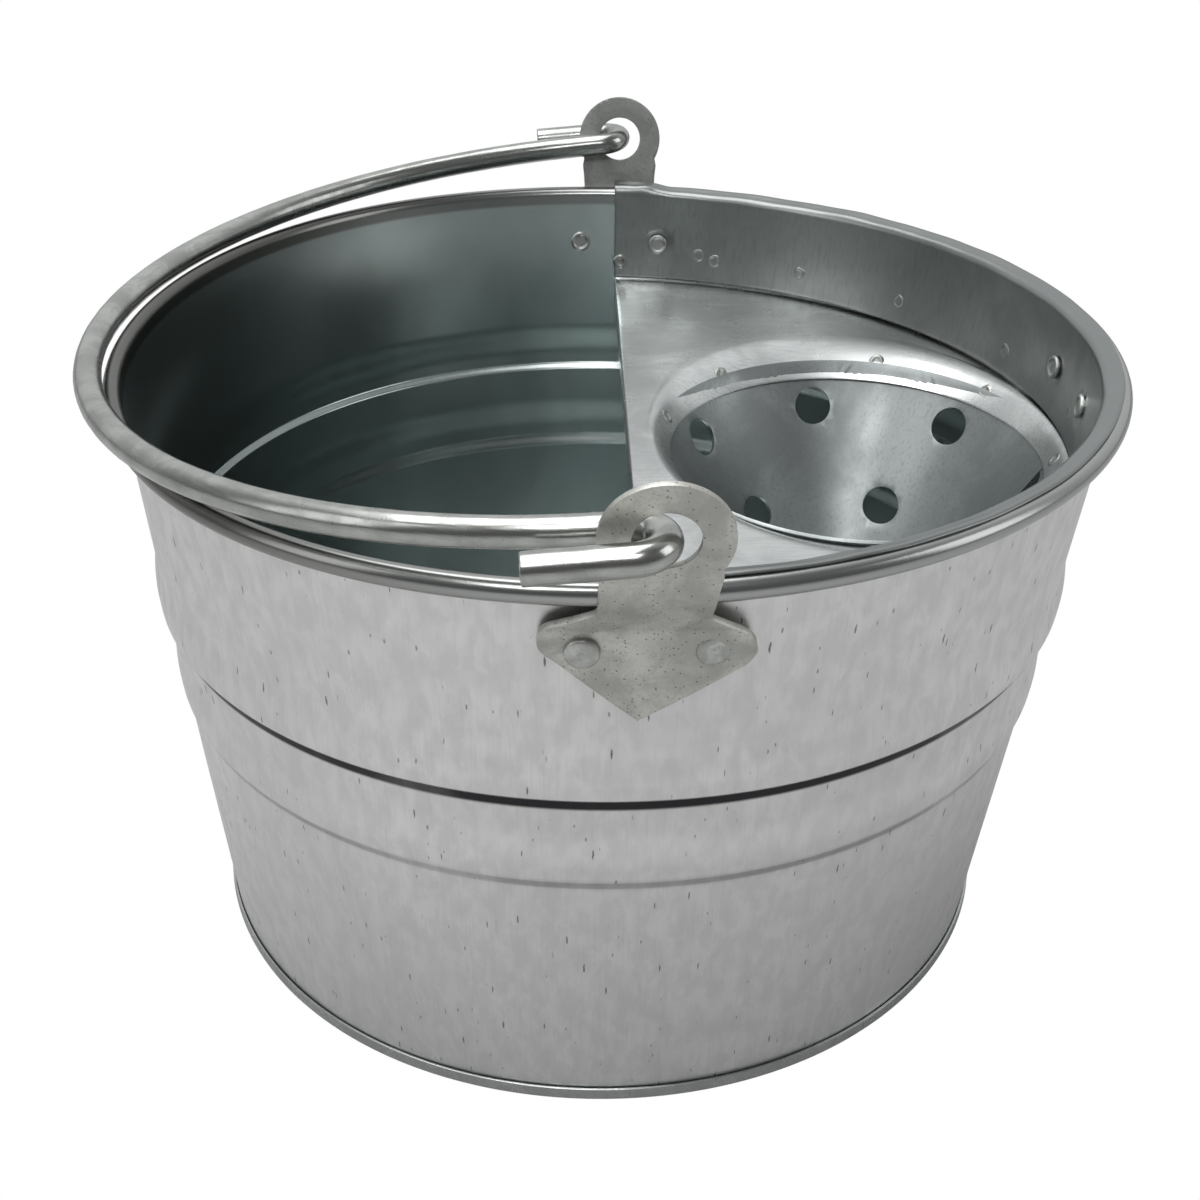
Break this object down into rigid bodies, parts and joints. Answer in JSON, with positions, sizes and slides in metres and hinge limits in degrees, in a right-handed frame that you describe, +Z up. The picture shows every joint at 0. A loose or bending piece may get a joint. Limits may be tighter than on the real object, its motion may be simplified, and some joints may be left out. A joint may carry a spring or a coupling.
{
  "type": "mop bucket with wringer",
  "caption": "Round tapered sheet-metal mop bucket with a rolled rim, riveted lugs, a swinging wire bail and a half-width wringer plate with a perforated cone.",
  "frame": {"origin": "centre of the foot at floor level, on the bucket's own axis; the flat underside of the base is 2 mm above it", "axes": "+Z up along the bucket's axis, +X towards the wringer half, the lugs and the bail's hinge axis along Y"},
  "size_m": [0.2985, 0.3362, 0.2099],
  "materials": {
    "galvanised_wall": "galvanised sheet with a soft cloudy spangle and small dark drag marks",
    "rolled_rim": "zinc-coated wire inside the rolled rim",
    "lug_steel": "matt grey zinc with a fine speckle",
    "wringer_steel": "galvanised sheet, smooth, with weld marks",
    "cone_steel": "bright rolled galvanised sheet with fine streaks",
    "zinc_wire": "bright zinc-plated wire, scuffed at the hooks"
  },
  "bodies": {
    "bucket": {"bucket_wall": "galvanised_wall", "bucket_base": "galvanised_wall", "rim_wire": "rolled_rim", "lug_front": "lug_steel", "lug_back": "lug_steel", "wringer_collar": "wringer_steel", "wringer_plate": "wringer_steel", "wringer_cone": "cone_steel", "wringer_cone_cup": "cone_steel", "rivet_lug_front_open_side": "lug_steel", "rivet_lug_front_wringer_side": "lug_steel", "rivet_collar_front": "lug_steel", "rivet_lug_back_open_side": "lug_steel", "rivet_lug_back_wringer_side": "lug_steel", "rivet_collar_back": "lug_steel"},
    "bail": {"bail_handle": "zinc_wire"}
  },
  "joints": [
    {"name": "bail_swing", "type": "hinge", "parent": "bucket", "child": "bail", "pos_m": [0.0095, 0, 0.1955], "axis": [0, 1, 0], "range_deg": [0, 194]}
  ]
}
